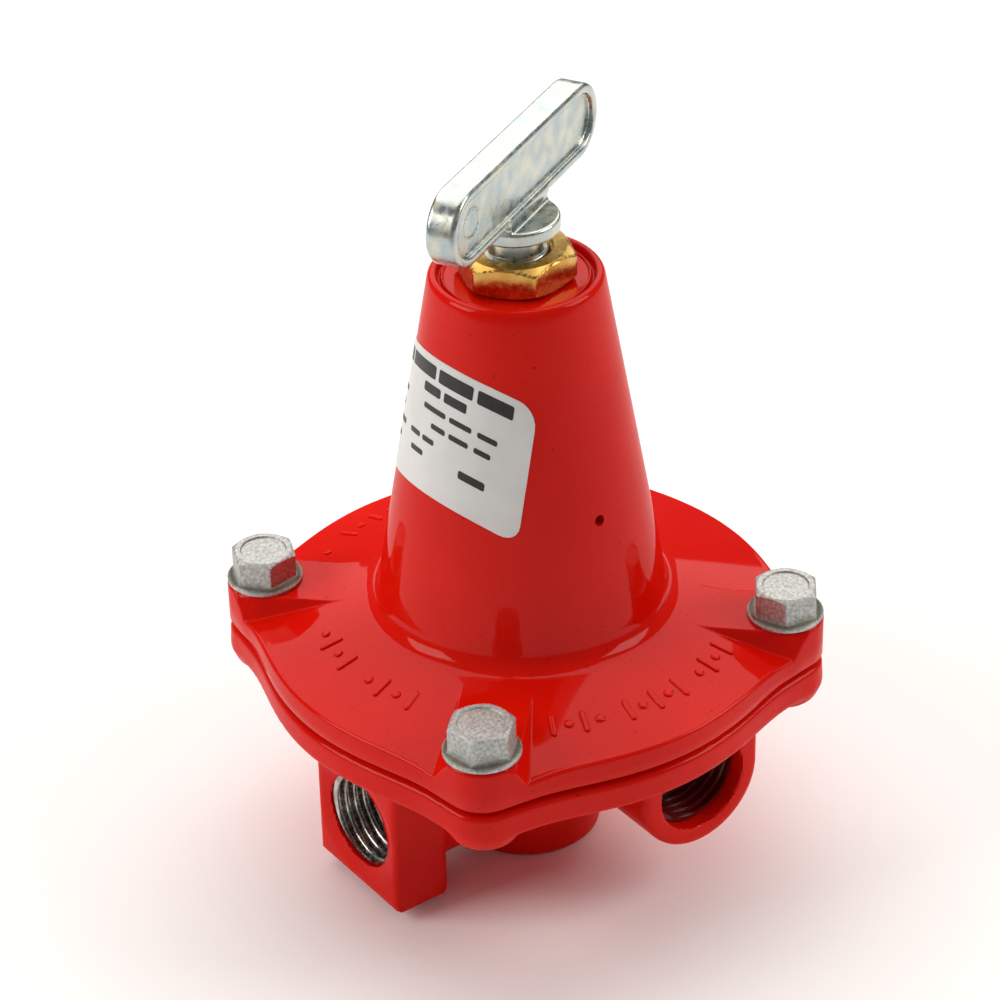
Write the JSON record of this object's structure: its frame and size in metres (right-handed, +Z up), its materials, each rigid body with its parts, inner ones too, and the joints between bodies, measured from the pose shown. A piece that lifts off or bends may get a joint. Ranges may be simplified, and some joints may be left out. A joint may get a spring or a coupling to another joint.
{
  "type": "adjustable gas pressure regulator",
  "caption": "Spring-loaded diaphragm gas regulator with a tall red conical bonnet, eared bolted flanges, wing-handle adjusting screw, and threaded inlet and outlet.",
  "frame": {"origin": "on the spring axis at the underside of the central boss, on which the regulator stands", "axes": "+Z up along the adjusting screw; the inlet block faces -X and the outlet boss faces -Y; the cover bolts stand at 45 degrees"},
  "size_m": [0.0664, 0.0664, 0.0996],
  "materials": {
    "red_enamel": "glossy stoved enamel on die-cast zinc alloy",
    "galvanised_steel": "dull hot-dip grey",
    "zinc_plate": "bright blue-passivated zinc plating",
    "brass": "turned from bar",
    "bright_steel": "turned, bare",
    "spring_steel": "drawn wire, oiled",
    "aluminium": "pressed sheet",
    "nitrile_rubber": "matt, cloth reinforced",
    "label_film": "satin printed film",
    "strainer_mesh": "woven wire"
  },
  "bodies": {
    "casing": {"lower_body": "red_enamel", "bonnet": "red_enamel", "cover_bolts": "galvanised_steel", "rating_label": "label_film", "valve_seat": "brass", "seat_gasket": "nitrile_rubber", "inlet_filter": "strainer_mesh", "filter_ring": "spring_steel", "poppet_guide": "brass", "poppet_spring": "spring_steel", "diaphragm": "nitrile_rubber", "main_spring": "spring_steel"},
    "spring_seat_group": {"spring_seat": "bright_steel", "thrust_ball": "bright_steel"},
    "screw": {"adjusting_screw": "zinc_plate", "wing_handle": "zinc_plate", "stop_ring": "spring_steel"},
    "lock_nut_body": {"lock_nut": "brass"},
    "diaphragm_stack": {"centre_post": "bright_steel", "post_seal": "nitrile_rubber", "lower_plate": "aluminium", "upper_plate": "aluminium", "lock_washer": "spring_steel", "post_nut": "bright_steel"},
    "valve_poppet": {"poppet": "brass", "poppet_pad": "nitrile_rubber", "pad_screw": "bright_steel"}
  },
  "joints": [
    {"name": "screw_feed", "type": "slide", "parent": "casing", "child": "spring_seat_group", "axis": [0, 0, 1], "range_m": [-0.0019, 0.0047], "deforming": ["main_spring"]},
    {"name": "screw_turn", "type": "hinge", "parent": "spring_seat_group", "child": "screw", "pos_m": [0, 0, 0.0816], "axis": [0, 0, 1], "range_deg": [-548, 1354]},
    {"name": "lock_nut_turn", "type": "hinge", "parent": "casing", "child": "lock_nut_body", "pos_m": [0, 0, 0.083], "axis": [0, 0, 1], "range_deg": [0, 60]},
    {"name": "diaphragm_lift", "type": "slide", "parent": "casing", "child": "diaphragm_stack", "axis": [0, 0, 1], "range_m": [0, 0.0008], "stiffness_N_per_m": 3000, "springref_m": -0.0003, "deforming": ["diaphragm", "main_spring"]},
    {"name": "poppet_lift", "type": "slide", "parent": "casing", "child": "valve_poppet", "axis": [0, 0, 1], "range_m": [0, 0.0008], "deforming": ["poppet_spring"]}
  ],
  "couplings": [
    {"joint": "screw_turn", "follows": "screw_feed", "rad_per_m": 5026.5},
    {"joint": "poppet_lift", "follows": "diaphragm_lift", "ratio": 1}
  ]
}
